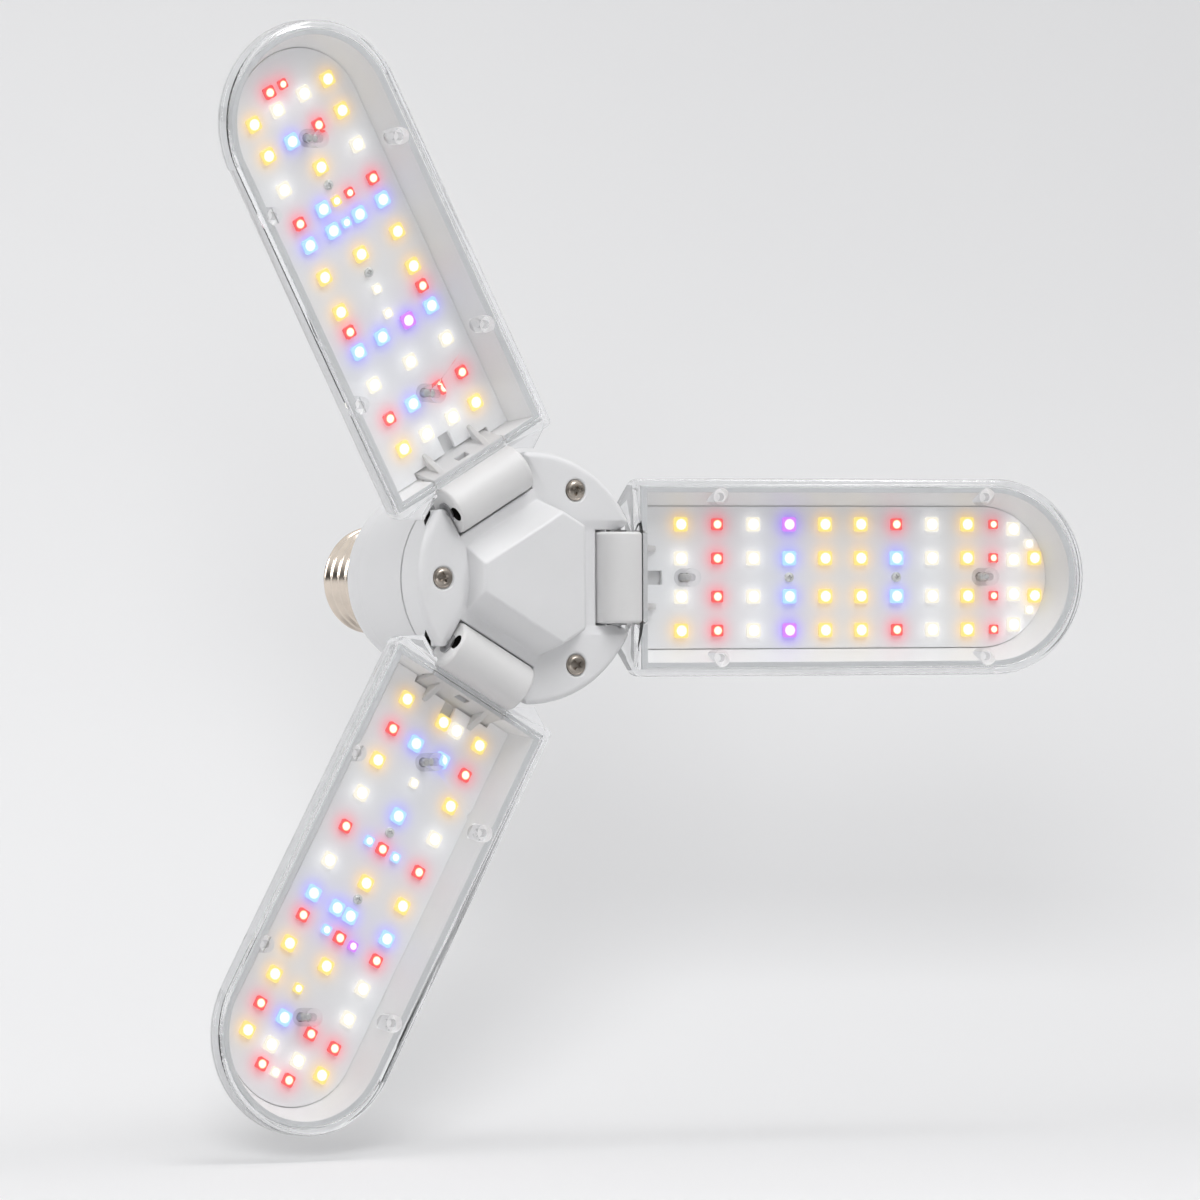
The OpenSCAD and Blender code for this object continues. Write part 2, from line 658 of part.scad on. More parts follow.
module cover_screws(i) color(steel) wing(i) {
    back_screws(i) translate([0, 0, 1.15]) mirror([0, 0, 1]) pan_screw(2, 1, screw_r, cover_screw_len);
}

module arm_screws(i) color(steel) wing(i) {
    arm_screw_places() translate([0, 0, 1.15]) mirror([0, 0, 1])
        pan_screw(2, 1, screw_r, foot_top - back_z - 1.5);
}

module connector(i) color("ivory") wing(i) {
    difference() {
        translate([along(0.18), -9, seat_z - connector_h]) cube([connector_len, connector_w, connector_h]);
        for (v = [-7.7, -5.3])
            translate([along(0.18) - 1, v - 0.5, seat_z - connector_h + 0.5]) cube([4, 1, 0.7]);
    }
}

front_cover();
hub_body();
rear_housing();
housing_screws();
hinge_pins();
hinge_washers();
screw_shell();
base_insulator();
centre_contact();
driver_board();
driver_coil();
driver_capacitor();
driver_parts();
supply_leads();
for (i = [0:2]) {
    arm(i);
    tray(i);
    cover(i);
    board(i);
    board_screws(i);
    cover_screws(i);
    arm_screws(i);
    connector(i);
    for (g = GROUPS)
        leds(i, g[1], g[2]);
}
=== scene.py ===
"""Looks of the foldable LED grow light.

Materials, rounded mouldings, screws, the rolled thread, lit LED packages and boards, and the stage,
lights and camera of the photograph's view. Lengths are millimetres in the lamp's or a wing's own
frame, and metres where a comment says so.
"""

import json
import math

import bmesh
import bpy
from mathutils import Matrix, Vector


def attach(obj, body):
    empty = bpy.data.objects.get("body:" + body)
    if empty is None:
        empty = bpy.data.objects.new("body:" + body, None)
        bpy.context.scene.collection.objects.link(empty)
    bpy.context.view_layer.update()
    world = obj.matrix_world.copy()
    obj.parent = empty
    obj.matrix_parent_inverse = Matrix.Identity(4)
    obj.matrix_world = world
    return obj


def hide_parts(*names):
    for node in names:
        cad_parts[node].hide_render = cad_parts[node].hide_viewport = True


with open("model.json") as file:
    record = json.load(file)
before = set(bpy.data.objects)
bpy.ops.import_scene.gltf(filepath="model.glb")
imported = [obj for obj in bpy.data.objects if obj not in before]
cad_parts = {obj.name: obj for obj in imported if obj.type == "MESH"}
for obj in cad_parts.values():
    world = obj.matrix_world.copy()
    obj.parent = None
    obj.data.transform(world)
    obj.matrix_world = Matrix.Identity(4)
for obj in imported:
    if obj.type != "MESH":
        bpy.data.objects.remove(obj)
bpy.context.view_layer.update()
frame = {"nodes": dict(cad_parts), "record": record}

MM = 0.001
BASE_END = 92.25  # from the petal plane to the contact's tip
HINGE_R, HINGE_DEPTH = 24.5, 2.2  # a hinge pin's distance from the lamp's axis and depth behind the petals
WINGS = {"right": (0, 8), "upper": (120, 5), "lower": (240, 2)}  # angle round the axis and fold at rest, degrees
TIP_CENTRE = 124  # centre of a wing's round end, along the wing
FACE_Z = -9.8  # face of a wing's LED board
WELD = 0.000002  # metres within which points are one point

NODES = frame["nodes"]
BODY = {n: b for b, names in frame["record"]["behaviour"]["bodies"].items() for n in names}
SLOT = {s["node"]: s["material_slot"] for s in frame["record"]["subparts"]}

LAMP = Matrix.Rotation(math.radians(90), 4, "X") @ Matrix.Translation((0, 0, BASE_END))
LAMP_MM = Matrix.Scale(MM, 4) @ LAMP  # from the lamp's millimetres to the frame's metres


def wing_matrix(wing):
    """From a wing's own millimetres (along, across, forward) to the frame's metres."""
    angle, fold = WINGS[wing]
    hinge = Matrix.Translation((HINGE_R, 0, -HINGE_DEPTH))
    return (
        LAMP_MM
        @ Matrix.Rotation(math.radians(angle), 4, "Z")
        @ hinge
        @ Matrix.Rotation(-math.radians(fold), 4, "Y")
        @ hinge.inverted()
    )


def past_tip_centre(spot):
    """How far a wing's point lies beyond the centre of its round end."""
    return max(0, spot.x - TIP_CENTRE)


def off_centre(spot):
    """A wing's point's distance from the centre line, or from the centre of the round end."""
    return math.hypot(past_tip_centre(spot), spot.y)


# ---- nodes of materials and world


def feed(tree, node, inputs):
    """Give a node's inputs numbers, colours or the outputs of other nodes."""
    for key, value in inputs.items():
        socket = node.inputs[key]
        if isinstance(value, bpy.types.NodeSocket):
            tree.links.new(value, socket)
        elif socket.type == "RGBA":
            socket.default_value = (*value, 1)
        else:
            socket.default_value = value


def add(tree, kind, inputs=None, **settings):
    """A new node with its settings and inputs."""
    node = tree.nodes.new(kind)
    for key, value in settings.items():
        setattr(node, key, value)
    feed(tree, node, inputs or {})
    return node


def ramp(tree, source, stops):
    """A colour, or a grey given as one number, for each value of the source."""
    node = add(tree, "ShaderNodeValToRGB", {"Fac": source})
    elements = node.color_ramp.elements
    while len(elements) < len(stops):
        elements.new(0.5)
    for element, (position, colour) in zip(elements, stops):
        element.position = position
        element.color = (*(colour if isinstance(colour, tuple) else (colour,) * 3), 1)
    return node.outputs["Color"]


def patches(tree, noise, first, second, span=(0.3, 0.7)):
    """Two colours or greys that run into each other in the noise's patches."""
    return ramp(tree, noise, list(zip(span, (first, second))))


def object_noise(tree, scale, detail=3.0, stretch=None):
    """Noise that stays on its object, drawn out along one direction where a stretch is given."""
    place = add(tree, "ShaderNodeTexCoord").outputs["Object"]
    if stretch:
        place = add(tree, "ShaderNodeMapping", {"Scale": stretch, "Vector": place}).outputs["Vector"]
    return add(tree, "ShaderNodeTexNoise", {"Scale": scale, "Detail": detail, "Vector": place}).outputs["Fac"]


def bump(tree, bsdf, source, strength, distance):
    """Fine relief on a surface. The distance is in metres."""
    node = add(tree, "ShaderNodeBump", {"Strength": strength, "Distance": distance, "Height": source})
    feed(tree, bsdf, {"Normal": node.outputs["Normal"]})
    return node


def sum_of(tree, operation, *values):
    """The result of a sum on numbers or other nodes' outputs."""
    return add(tree, "ShaderNodeMath", dict(enumerate(values)), operation=operation).outputs["Value"]


def mixed(tree, share, first, second):
    """The second shader in the given share, and the first in the rest."""
    return add(tree, "ShaderNodeMixShader", {0: share, 1: first, 2: second}).outputs["Shader"]


def rays(tree, *kinds):
    """1 for rays of these kinds and 0 for all others."""
    path = add(tree, "ShaderNodeLightPath")
    found = path.outputs[f"Is {kinds[0]} Ray"]
    for kind in kinds[1:]:
        found = sum_of(tree, "MAXIMUM", found, path.outputs[f"Is {kind} Ray"])
    return found


# ---- materials

LED_LIGHT = (1.0, 0.975, 0.96)  # colour of the LEDs' light painted as a glow on the trays


def new_material(name):
    mat = bpy.data.materials.new(name)
    mat.use_nodes = True
    tree = mat.node_tree
    return mat, tree, tree.nodes["Principled BSDF"]


def show(tree, shader):
    """Make a shader the material's surface."""
    feed(tree, tree.nodes["Material Output"], {"Surface": shader})


def plastic(name, colour, rough=0.42, uneven=0.025, grain=5200, relief=0.12, specular=0.4, edge=0.0, glow=0.0):
    """Moulded plastic: fine spark-eroded grain, softened edges, and slight unevenness of colour and gloss."""
    mat, tree, bsdf = new_material(name)
    cloud = object_noise(tree, 60)
    look = {
        "Base Color": patches(tree, cloud, tuple(c * (1 - uneven) for c in colour), colour),
        "Roughness": patches(tree, cloud, rough - 0.04, rough + 0.05),
        "Specular IOR Level": specular,
    }
    # glow: painted light, an emission that stands in for the LEDs' light falling on the plastic
    if glow:
        look.update({"Emission Color": LED_LIGHT, "Emission Strength": glow})
    feed(tree, bsdf, look)
    grained = bump(tree, bsdf, object_noise(tree, grain, 2), relief, 0.00004)
    if edge:
        soft = add(tree, "ShaderNodeBevel", {"Radius": edge * MM}, samples=6)
        feed(tree, grained, {"Normal": soft.outputs["Normal"]})
    return mat


def metal(name, colour, rough=0.3, stretch=(400, 4000, 400), relief=0.15, tarnish=0.25, metallic=1.0):
    """Metal with fine marks along one direction and darker tarnish patches."""
    mat, tree, bsdf = new_material(name)
    cloud = object_noise(tree, 220, 4)
    look = {
        "Metallic": metallic,
        "Base Color": patches(tree, cloud, tuple(c * (1 - tarnish) for c in colour), colour, (0.35, 0.65)),
        "Roughness": patches(tree, cloud, rough + 0.1, rough),
    }
    feed(tree, bsdf, look)
    bump(tree, bsdf, object_noise(tree, 1, 3, stretch), relief, 0.00003)
    return mat


def clear_plastic(name):
    """Clear polycarbonate: bends what is seen through it, and lets the lamps' light reach what it covers."""
    mat, tree, bsdf = new_material(name)
    facing = add(tree, "ShaderNodeLayerWeight", {"Blend": 0.5}).outputs["Facing"]
    look = {
        # darker where the surface is seen edge-on: painted shade that draws the dark contour lines along the rims
        "Base Color": ramp(tree, facing, [(0.0, (0.97, 0.98, 0.985)), (0.55, (0.95, 0.955, 0.96)), (1.0, 0.3)]),
        "Roughness": patches(tree, object_noise(tree, 90, 2), 0.012, 0.03),
        "IOR": 1.5,
        "Transmission Weight": 1,
    }
    feed(tree, bsdf, look)
    open_way = add(tree, "ShaderNodeBsdfTransparent", {"Color": (0.93, 0.935, 0.94)})
    show(tree, mixed(tree, rays(tree, "Shadow", "Diffuse"), bsdf.outputs["BSDF"], open_way.outputs["BSDF"]))
    return mat


def thin_plastic(name):
    """The covers' slim posts: only a faint darkening at their sides and a soft shine."""
    mat, tree, bsdf = new_material(name)
    feed(tree, bsdf, {"Base Color": (0.9, 0.9, 0.9), "Roughness": 0.12})
    shade = patches(tree, object_noise(tree, 300, 2), (0.90, 0.90, 0.905), (0.96, 0.96, 0.965))
    clear = add(tree, "ShaderNodeBsdfTransparent", {"Color": shade})
    facing = add(tree, "ShaderNodeLayerWeight", {"Blend": 0.25}).outputs["Facing"]
    share = ramp(tree, facing, [(0.0, 0.03), (0.6, 0.08), (1.0, 0.45)])
    show(tree, mixed(tree, share, clear.outputs["BSDF"], bsdf.outputs["BSDF"]))
    return mat


def glowing(name, rough):
    """A surface whose colour and light come from its vertices: one attribute for the colour, glow for the light. On
    the boards both carry the LEDs' light painted on: a coloured halo in the colour, and a glow in the light.
    """
    mat, tree, bsdf = new_material(name)
    look = {
        "Base Color": add(tree, "ShaderNodeVertexColor", layer_name="tint").outputs["Color"],
        "Emission Color": add(tree, "ShaderNodeVertexColor", layer_name="glow").outputs["Color"],
        "Emission Strength": 1,
        "Roughness": rough,
        "Specular IOR Level": 0.3,
    }
    feed(tree, bsdf, look)
    bump(tree, bsdf, object_noise(tree, 2600, 2), 0.06, 0.00003)
    return mat


TRAY = dict(colour=(0.76, 0.76, 0.765), rough=0.38, uneven=0.03, grain=3800, relief=0.1)
ZINC = dict(colour=(0.80, 0.80, 0.79), rough=0.45, stretch=(900, 900, 4000), relief=0.15, tarnish=0.1, metallic=0.5)
STEEL = dict(colour=(0.42, 0.375, 0.33), rough=0.26, stretch=(900, 900, 4000), relief=0.2, tarnish=0.4)
NICKEL = dict(colour=(0.76, 0.67, 0.58), rough=0.13, stretch=(700, 90, 700), relief=0.08, tarnish=0.1)
FINISHES = {
    "hub_plastic": (plastic, dict(colour=(0.76, 0.76, 0.77), edge=0.8)),
    # a little darker than the hub's plastic: painted shade for the knuckles, which sit in shade beside the hub
    "arm_plastic": (plastic, dict(colour=(0.73, 0.725, 0.725), edge=0.5)),
    "tray_grey": (plastic, dict(TRAY, edge=0.3)),
    "tray_lit": (plastic, dict(TRAY, edge=0.3, glow=0.13)),
    "hole_lit": (plastic, dict(TRAY, glow=0.35)),
    "clear_cover": (clear_plastic, {}),
    "clear_post": (thin_plastic, {}),
    "board_white": (glowing, dict(rough=0.45)),
    "led_white": (glowing, dict(rough=0.3)),
    "led_warm": (glowing, dict(rough=0.3)),
    "led_red": (glowing, dict(rough=0.3)),
    "led_blue": (glowing, dict(rough=0.3)),
    "led_violet": (glowing, dict(rough=0.3)),
    "screw_steel": (metal, STEEL),
    "screw_zinc": (metal, ZINC),
    "pin_steel": (metal, dict(colour=(0.55, 0.55, 0.56))),
    "shell_nickel": (metal, NICKEL),
    # painted shade: a near-black colour for deep holes and the screws' cross recesses, where shade falls
    "recess_painted_shade": (plastic, dict(colour=(0.012, 0.011, 0.010), rough=0.7, uneven=0.3, specular=0.1)),
    "insulator_black": (plastic, dict(colour=(0.03, 0.03, 0.034), rough=0.25, uneven=0.2)),
    "contact_solder": (metal, dict(colour=(0.62, 0.60, 0.56), rough=0.35)),
    "driver_green": (plastic, dict(colour=(0.03, 0.16, 0.07), rough=0.3, uneven=0.2)),
    "coil_yellow": (plastic, dict(colour=(0.60, 0.40, 0.06), rough=0.4, uneven=0.15)),
    "capacitor_blue": (plastic, dict(colour=(0.02, 0.03, 0.10), rough=0.25, uneven=0.2)),
    "part_orange": (plastic, dict(colour=(0.50, 0.16, 0.02), rough=0.3, uneven=0.15)),
    "lead_red": (plastic, dict(colour=(0.45, 0.02, 0.02), rough=0.4, uneven=0.1)),
    "connector_ivory": (plastic, dict(colour=(0.72, 0.68, 0.56), rough=0.4, uneven=0.05)),
}
MATERIALS = {name: make(name, **options) for name, (make, options) in FINISHES.items()}

for name, node in NODES.items():
    node.data.materials.clear()
    node.data.materials.append(MATERIALS[SLOT[name]])


# ---- pieces

FLAT_ANGLE = 0.6  # degrees: faces that turn less are one flat face
SHARP_ANGLE = 32  # degrees: edges that turn more are rounded
CREASE_ANGLE = 50  # degrees: rounded pieces are shaded smooth over edges that turn less
SMALL_CREASE_ANGLE = 35  # the same for screws and LED packages


def placed(name, data):
    """A new object in the scene."""
    obj = bpy.data.objects.new(name, data)
    bpy.context.scene.collection.objects.link(obj)
    return obj


def piece_from(name, mesh, node_name):
    """A new piece that rides as a CAD node does, takes its material slot and stands for it."""
    obj = placed(name, mesh)
    if not mesh.materials:
        mesh.materials.append(MATERIALS[SLOT[node_name]])
    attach(obj, BODY[node_name])
    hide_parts(node_name)
    return obj


def mesh_from(name, verts, faces):
    mesh = bpy.data.meshes.new(name)
    mesh.from_pydata(verts, [], faces)
    return mesh


def outward(mesh):
    """Turn the faces of a closed form outward."""
    bm = bmesh.new()
    bm.from_mesh(mesh)
    bmesh.ops.recalc_face_normals(bm, faces=bm.faces)
    bm.to_mesh(mesh)
    bm.free()
    return mesh


def joined(node_name):
    """A copy of a CAD node's mesh with its faces joined."""
    bm = bmesh.new()
    bm.from_mesh(NODES[node_name].data)
    bmesh.ops.remove_doubles(bm, verts=bm.verts, dist=WELD)
    return bm


def welded(node_name):
    """A copy of a CAD node's mesh with its faces joined and its flat faces whole."""
    bm = joined(node_name)
    bmesh.ops.dissolve_limit(
        bm, angle_limit=math.radians(FLAT_ANGLE), verts=bm.verts, edges=bm.edges, delimit={"NORMAL"}
    )
    return bm


def solids(node_name, to_local):
    """The separate solids of a CAD node, as points in a local frame."""
    bm = joined(node_name)
    found, seen = [], set()
    for start in bm.verts:
        if start in seen:
            continue
        stack, points = [start], []
        seen.add(start)
        while stack:
            v = stack.pop()
            points.append(to_local @ v.co)
            for e in v.link_edges:
                w = e.other_vert(v)
                if w not in seen:
                    seen.add(w)
                    stack.append(w)
        found.append(points)
    bm.free()
    return found


def edge_groups(bm):
    """Sharp edges in groups that touch each other."""
    sharp = {e for e in bm.edges if len(e.link_faces) == 2 and e.calc_face_angle(0) > math.radians(SHARP_ANGLE)}
    groups = []
    for start in bm.edges:
        if start not in sharp:
            continue
        sharp.discard(start)
        stack, group = [start], []
        while stack:
            edge = stack.pop()
            group.append(edge)
            for v in edge.verts:
                for other in v.link_edges:
                    if other in sharp:
                        sharp.discard(other)
                        stack.append(other)
        groups.append(group)
    return groups


RIM_ANGLE = 60  # degrees that a cover's surface turns at its rim, at least
RIM_FROM, RIM_START = 21.5, 31.5  # a rim's least distance from the wing's centre line and from the lamp's axis
LEVEL = 0.01  # a rim edge keeps its height within this


def rim_edges(bm, wing):
    """The long smooth edges round a cover's rim and band."""
    inside = wing_matrix(wing).inverted()
    found = []
    for edge in bm.edges:
        if len(edge.link_faces) != 2 or not edge.is_convex or edge.calc_face_angle(0) < math.radians(RIM_ANGLE):
            continue
        a, b = (inside @ v.co for v in edge.verts)
        outside = min(off_centre(a), off_centre(b)) > RIM_FROM and min(a.x, b.x) > RIM_START
        if outside and abs(a.z - b.z) < LEVEL:
            found.append(edge)
    return found


def extent(edges):
    """Length of the box round some edges, corner to corner, in metres."""
    points = [v.co for e in edges for v in e.verts]
    low = [min(p[i] for p in points) for i in range(3)]
    high = [max(p[i] for p in points) for i in range(3)]
    return math.dist(low, high)


def rounded(node_name, width, segments=2, rim=None, least=0.0):
    """The CAD node with its sharp edges, or the rim of a wing's cover, rounded as a moulding's are.

    Groups of edges with an extent under least, in metres, stay sharp.
    """
    bm = welded(node_name)
    for group in [rim_edges(bm, rim)] if rim else edge_groups(bm):
        edges = [e for e in group if e.is_valid]
        if not edges or extent(edges) < least:
            continue
        bmesh.ops.bevel(
            bm, geom=edges, offset=width * MM, offset_type="OFFSET", segments=segments, profile=0.5,
            affect="EDGES", clamp_overlap=not rim, miter_outer="ARC",
        )
    mesh = bpy.data.meshes.new(node_name + "_rounded")
    bm.to_mesh(mesh)
    bm.free()
    obj = piece_from(node_name + "_rounded", mesh, node_name)
    mesh.shade_smooth()
    mesh.set_sharp_from_angle(angle=math.radians(CREASE_ANGLE))
    weighted = obj.modifiers.new("flat faces", "WEIGHTED_NORMAL")
    weighted.mode = "FACE_AREA"
    weighted.weight = 100  # large faces count most, so that they look flat
    weighted.keep_sharp = True
    bpy.context.view_layer.objects.active = obj
    obj.select_set(True)
    bpy.ops.object.modifier_apply(modifier=weighted.name)
    obj.select_set(False)
    return obj


TURN_STEPS = 64


def turned(profile):
    """A form turned round z from pairs of radius and height, as a mesh."""
    verts, faces, rings = [], [], []
    for r, z in profile:
        first = len(verts)
        count = TURN_STEPS if r > 1e-6 else 1
        for k in range(count):
            a = 2 * math.pi * k / TURN_STEPS
            verts.append((r * math.cos(a), r * math.sin(a), z))
        rings.append([first + k % count for k in range(TURN_STEPS + 1)])
    for low, high in zip(rings, rings[1:]):
        for k in range(TURN_STEPS):
            face = tuple(dict.fromkeys((low[k], low[k + 1], high[k + 1], high[k])))
            if len(face) > 2:
                faces.append(face)
    return outward(mesh_from("turned", verts, faces))


# ---- screws: sizes are shares of the head's radius and height

DOME_FALL = 0.42  # how far the head's dome falls from its middle to its edge
RING_SPAN, RING_DEPTH = (0.76, 0.86), 0.07  # radii and depth of the ring groove in the dome
DOME_RADII = (0.97, 0.93, 0.88, 0.84, 0.78, 0.74, 0.6, 0.4, 0.2)  # where the dome's points lie
CROSS_FLOOR = 0.42  # height of the cross recess's floor
CROSS_ARMS = ((0.36, 0.12), (0.74, 0.22))  # half length and half width of its arms, at the floor and the top
CROSS_REACH, CROSS_DEEP = 0.7, 0.03  # its faces lie within this radius, and this far below the dome
DARK_FROM = 0.3  # height above which a face can be the cross's
HEAD_EDGE = 0.5  # height of the head's straight edge
FOOT_R, FOOT_CHAMFER = 0.6, 0.5  # the shank's end, in shares of its radius
ABOVE_HEAD = 0.4  # mm that the cutter reaches above the head
BOX_FACES = [(3, 2, 1, 0), (4, 5, 6, 7), (0, 1, 5, 4), (1, 2, 6, 5), (2, 3, 7, 6), (3, 0, 4, 7)]
PAST_SEAT = 0.3  # mm from the seat past which only the shank is found
HEAD_SHARE = 0.97  # share of the largest radius past which a point is on the head's edge
HOUSING_CROSS_TURN = 20  # degrees
SCREW_FORMS = {}  # forms already made, by their sizes


def dome(share, head_h):
    """Height of a head at a share of its radius."""
    ring = RING_DEPTH * head_h if RING_SPAN[0] < share < RING_SPAN[1] else 0
    return head_h * (1 - DOME_FALL * share**2) - ring


def cross_arm(head_r, head_h, angle):
    """The cutter for one of the two arms of a head's cross recess."""
    verts = []
    for z, (half_length, half_width) in zip((CROSS_FLOOR * head_h, head_h + ABOVE_HEAD), CROSS_ARMS):
        for x, y in ((-1, -1), (1, -1), (1, 1), (-1, 1)):
            verts.append((x * half_length * head_r, y * half_width * head_r, z))
    cutter = placed("cross_arm", outward(mesh_from("cross_arm", verts, BOX_FACES)))
    cutter.rotation_euler.z = math.radians(angle)
    return cutter


def screw_form(head_r, head_h, shank_r, length):
    """A pan head screw with a ringed, domed head and a tapered cross recess, head up, seated at z = 0."""
    key = tuple(round(x, 2) for x in (head_r, head_h, shank_r, length))
    if key in SCREW_FORMS:
        return SCREW_FORMS[key]
    profile = [
        (0, -length),
        (FOOT_R * shank_r, -length),
        (shank_r, FOOT_CHAMFER * shank_r - length),
        (shank_r, 0),
        (head_r, 0),
        (head_r, HEAD_EDGE * head_h),
        *((share * head_r, dome(share, head_h)) for share in DOME_RADII),
        (0, head_h),
    ]
    obj = placed("screw_form", turned(profile))
    cutters = [cross_arm(head_r, head_h, angle) for angle in (0, 90)]
    for cutter in cutters:
        cut = obj.modifiers.new("cross", "BOOLEAN")
        cut.object = cutter
        cut.solver = "EXACT"
    bpy.context.view_layer.update()
    evaluated = obj.evaluated_get(bpy.context.evaluated_depsgraph_get())
    form = bpy.data.meshes.new_from_object(evaluated)
    for extra in (obj, *cutters):
        bpy.data.objects.remove(extra)
    bm = bmesh.new()
    bm.from_mesh(form)
    # faces deep in the cross recess take the second material, the painted shade
    for face in bm.faces:
        c = face.calc_center_median()
        r = math.hypot(c.x, c.y)
        below_dome = c.z < dome(r / head_r, head_h) - CROSS_DEEP * head_h
        deep = c.z > DARK_FROM * head_h and r < CROSS_REACH * head_r and below_dome
        face.material_index = 1 if deep else 0
        face.smooth = not deep
    bm.to_mesh(form)
    bm.free()
    SCREW_FORMS[key] = form
    return form


def screws(node_name, local, finish, turn=0.0):
    """All screws of a CAD node, each set where its solid is, with its cross turned by an angle."""
    whole = bmesh.new()
    for points in solids(node_name, local.inverted()):
        x = (max(p.x for p in points) + min(p.x for p in points)) / 2
        y = (max(p.y for p in points) + min(p.y for p in points)) / 2
        low, high = min(p.z for p in points), max(p.z for p in points)
        head_r = max(math.hypot(p.x - x, p.y - y) for p in points)
        wide = [p.z for p in points if math.hypot(p.x - x, p.y - y) > HEAD_SHARE * head_r]
        up = sum(wide) / len(wide) > (low + high) / 2
        seat = min(wide) if up else max(wide)
        head_h, length = (high - seat, seat - low) if up else (seat - low, high - seat)
        past = [p for p in points if (p.z < seat - PAST_SEAT if up else p.z > seat + PAST_SEAT)]
        shank_r = max(math.hypot(p.x - x, p.y - y) for p in past)
        place = Matrix.Translation((x, y, seat))
        if not up:
            place = place @ Matrix.Rotation(math.pi, 4, "X")
        place = place @ Matrix.Rotation(math.atan2(y, x) + turn, 4, "Z")
        first = len(whole.verts)
        whole.from_mesh(screw_form(head_r, head_h, shank_r, length))
        whole.verts.ensure_lookup_table()
        bmesh.ops.transform(whole, matrix=local @ place, verts=whole.verts[first:])
    mesh = bpy.data.meshes.new(node_name + "_detailed")
    whole.to_mesh(mesh)
    whole.free()
    mesh.materials.clear()
    mesh.materials.append(MATERIALS[finish])
    mesh.materials.append(MATERIALS["recess_painted_shade"])
    mesh.set_sharp_from_angle(angle=math.radians(SMALL_CREASE_ANGLE))
    piece_from(node_name + "_detailed", mesh, node_name)


screws("housing_screws", LAMP_MM, "screw_steel", math.radians(HOUSING_CROSS_TURN))
for wing in WINGS:
    for kind in ("board_screws_", "cover_screws_", "arm_screws_"):
        screws(kind + wing, wing_matrix(wing), "screw_zinc")

# ---- screw shell with its rolled thread: depths are measured back from the petals

THREAD_R, GROOVE, PITCH = 13.2, 1.1, 3.63  # radius of the crests, depth of the groove, pitch
SHELL_START, THREAD_START, THREAD_END, SHELL_END = 59.7, 65.2, 83.35, 85.75
SHELL_ENDS_GAP = 0.02  # keeps the shell's ends off the pieces they stand on
# soft passages to and from the thread: how far before its start and end they begin, and their length
INTO_THREAD, OUT_OF_THREAD = (1.2, 2.4), (0.9, 2.2)
COLLAR_DROP, BEAD = 0.3, 0.25  # how far the collar lies under the crests, and the height of the bead round it
BEAD_DEPTH, BEAD_WIDTH = SHELL_START + 0.6, 0.5
END_DROP, END_TURN_IN = 0.3, 1.25  # the shell's end: how far it lies under the grooves, and how far it turns in
SHELL_BORE, END_BORE = 11.6, 10.4  # inner radii of the shell and of its end
END_WALL, END_CHAMFER = 1.2, 0.1
SHELL_STEPS, SHELL_ROWS = 128, 150
SHELL_CREASE_ANGLE = 45


def smooth_step(x):
    """A soft passage from 0 to 1."""
    x = min(1, max(0, x))
    return x * x * (3 - 2 * x)


def shell_radius(depth, angle):
    """Outer radius of the shell at a depth and an angle round it."""
    wave = (1 + math.cos(2 * math.pi * (depth - THREAD_START) / PITCH - angle)) / 2
    thread = THREAD_R - GROOVE * (1 - wave)
    into = smooth_step((depth - THREAD_START + INTO_THREAD[0]) / INTO_THREAD[1])
    out = smooth_step((depth - THREAD_END + OUT_OF_THREAD[0]) / OUT_OF_THREAD[1])
    collar = THREAD_R - COLLAR_DROP + BEAD * math.exp(-(((depth - BEAD_DEPTH) / BEAD_WIDTH) ** 2))
    radius = collar * (1 - into) + thread * into
    past_thread = max(0, (depth - THREAD_END) / (SHELL_END - THREAD_END))
    end = THREAD_R - GROOVE - END_DROP - END_TURN_IN * past_thread**2
    return min(THREAD_R, radius * (1 - out) + end * out)


def thread_shell():
    """The shell as one closed form: down its outside, and back up its bore."""
    angles = [2 * math.pi * k / SHELL_STEPS for k in range(SHELL_STEPS)]
    start, long = SHELL_START + SHELL_ENDS_GAP, SHELL_END - SHELL_START - 2 * SHELL_ENDS_GAP
    rings = []
    for row in range(SHELL_ROWS + 1):
        depth = start + long * row / SHELL_ROWS
        rings.append((depth, [shell_radius(depth, a) for a in angles]))
    for depth, radius in (
        (SHELL_END, END_BORE),
        (SHELL_END - END_WALL, END_BORE),
        (SHELL_END - END_WALL - END_CHAMFER, SHELL_BORE),
        (start, SHELL_BORE),
    ):
        rings.append((depth, [radius] * SHELL_STEPS))
    verts, faces = [], []
    for row, (depth, radii) in enumerate(rings):
        after = (row + 1) % len(rings)
        for k, (r, a) in enumerate(zip(radii, angles)):
            verts.append(LAMP_MM @ Vector((r * math.cos(a), r * math.sin(a), -depth)))
            here, there, n = row * SHELL_STEPS, after * SHELL_STEPS, (k + 1) % SHELL_STEPS
            faces.append((here + k, here + n, there + n, there + k))
    mesh = outward(mesh_from("screw_shell_threaded", verts, faces))
    mesh.shade_smooth()
    mesh.set_sharp_from_angle(angle=math.radians(SHELL_CREASE_ANGLE))
    piece_from("screw_shell_threaded", mesh, "screw_shell")


thread_shell()

# ---- LEDs and boards

